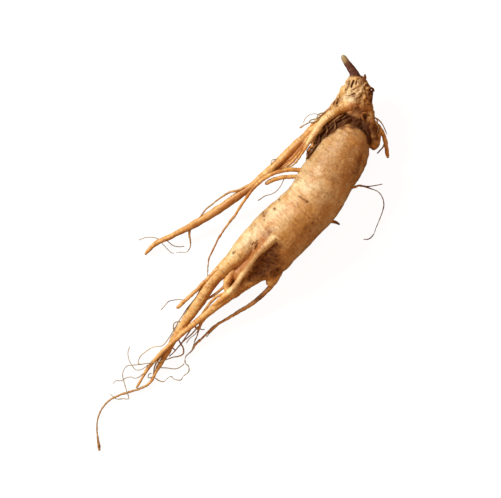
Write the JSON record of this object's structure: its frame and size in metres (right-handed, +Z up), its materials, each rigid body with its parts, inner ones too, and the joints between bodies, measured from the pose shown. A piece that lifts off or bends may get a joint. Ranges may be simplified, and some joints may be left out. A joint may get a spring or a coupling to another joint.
{
  "type": "ginseng root",
  "caption": "Fresh ginseng root lying on its side: a thick taproot with a knobbly neck and stem stub, forked legs, a long side root and fine curling rootlets.",
  "frame": {"origin": "on the surface that the root lies on, under the middle line of the taproot, on its resting flat", "axes": "+X along the root towards its crown and stem stub, +Y across it towards the side root, +Z up"},
  "size_m": [0.2337, 0.0992, 0.0271],
  "materials": {
    "root_skin": "matte buff cork skin, slightly waxy, with brown flecks"
  },
  "bodies": {
    "root": {"ginseng_root": "root_skin"}
  },
  "joints": []
}
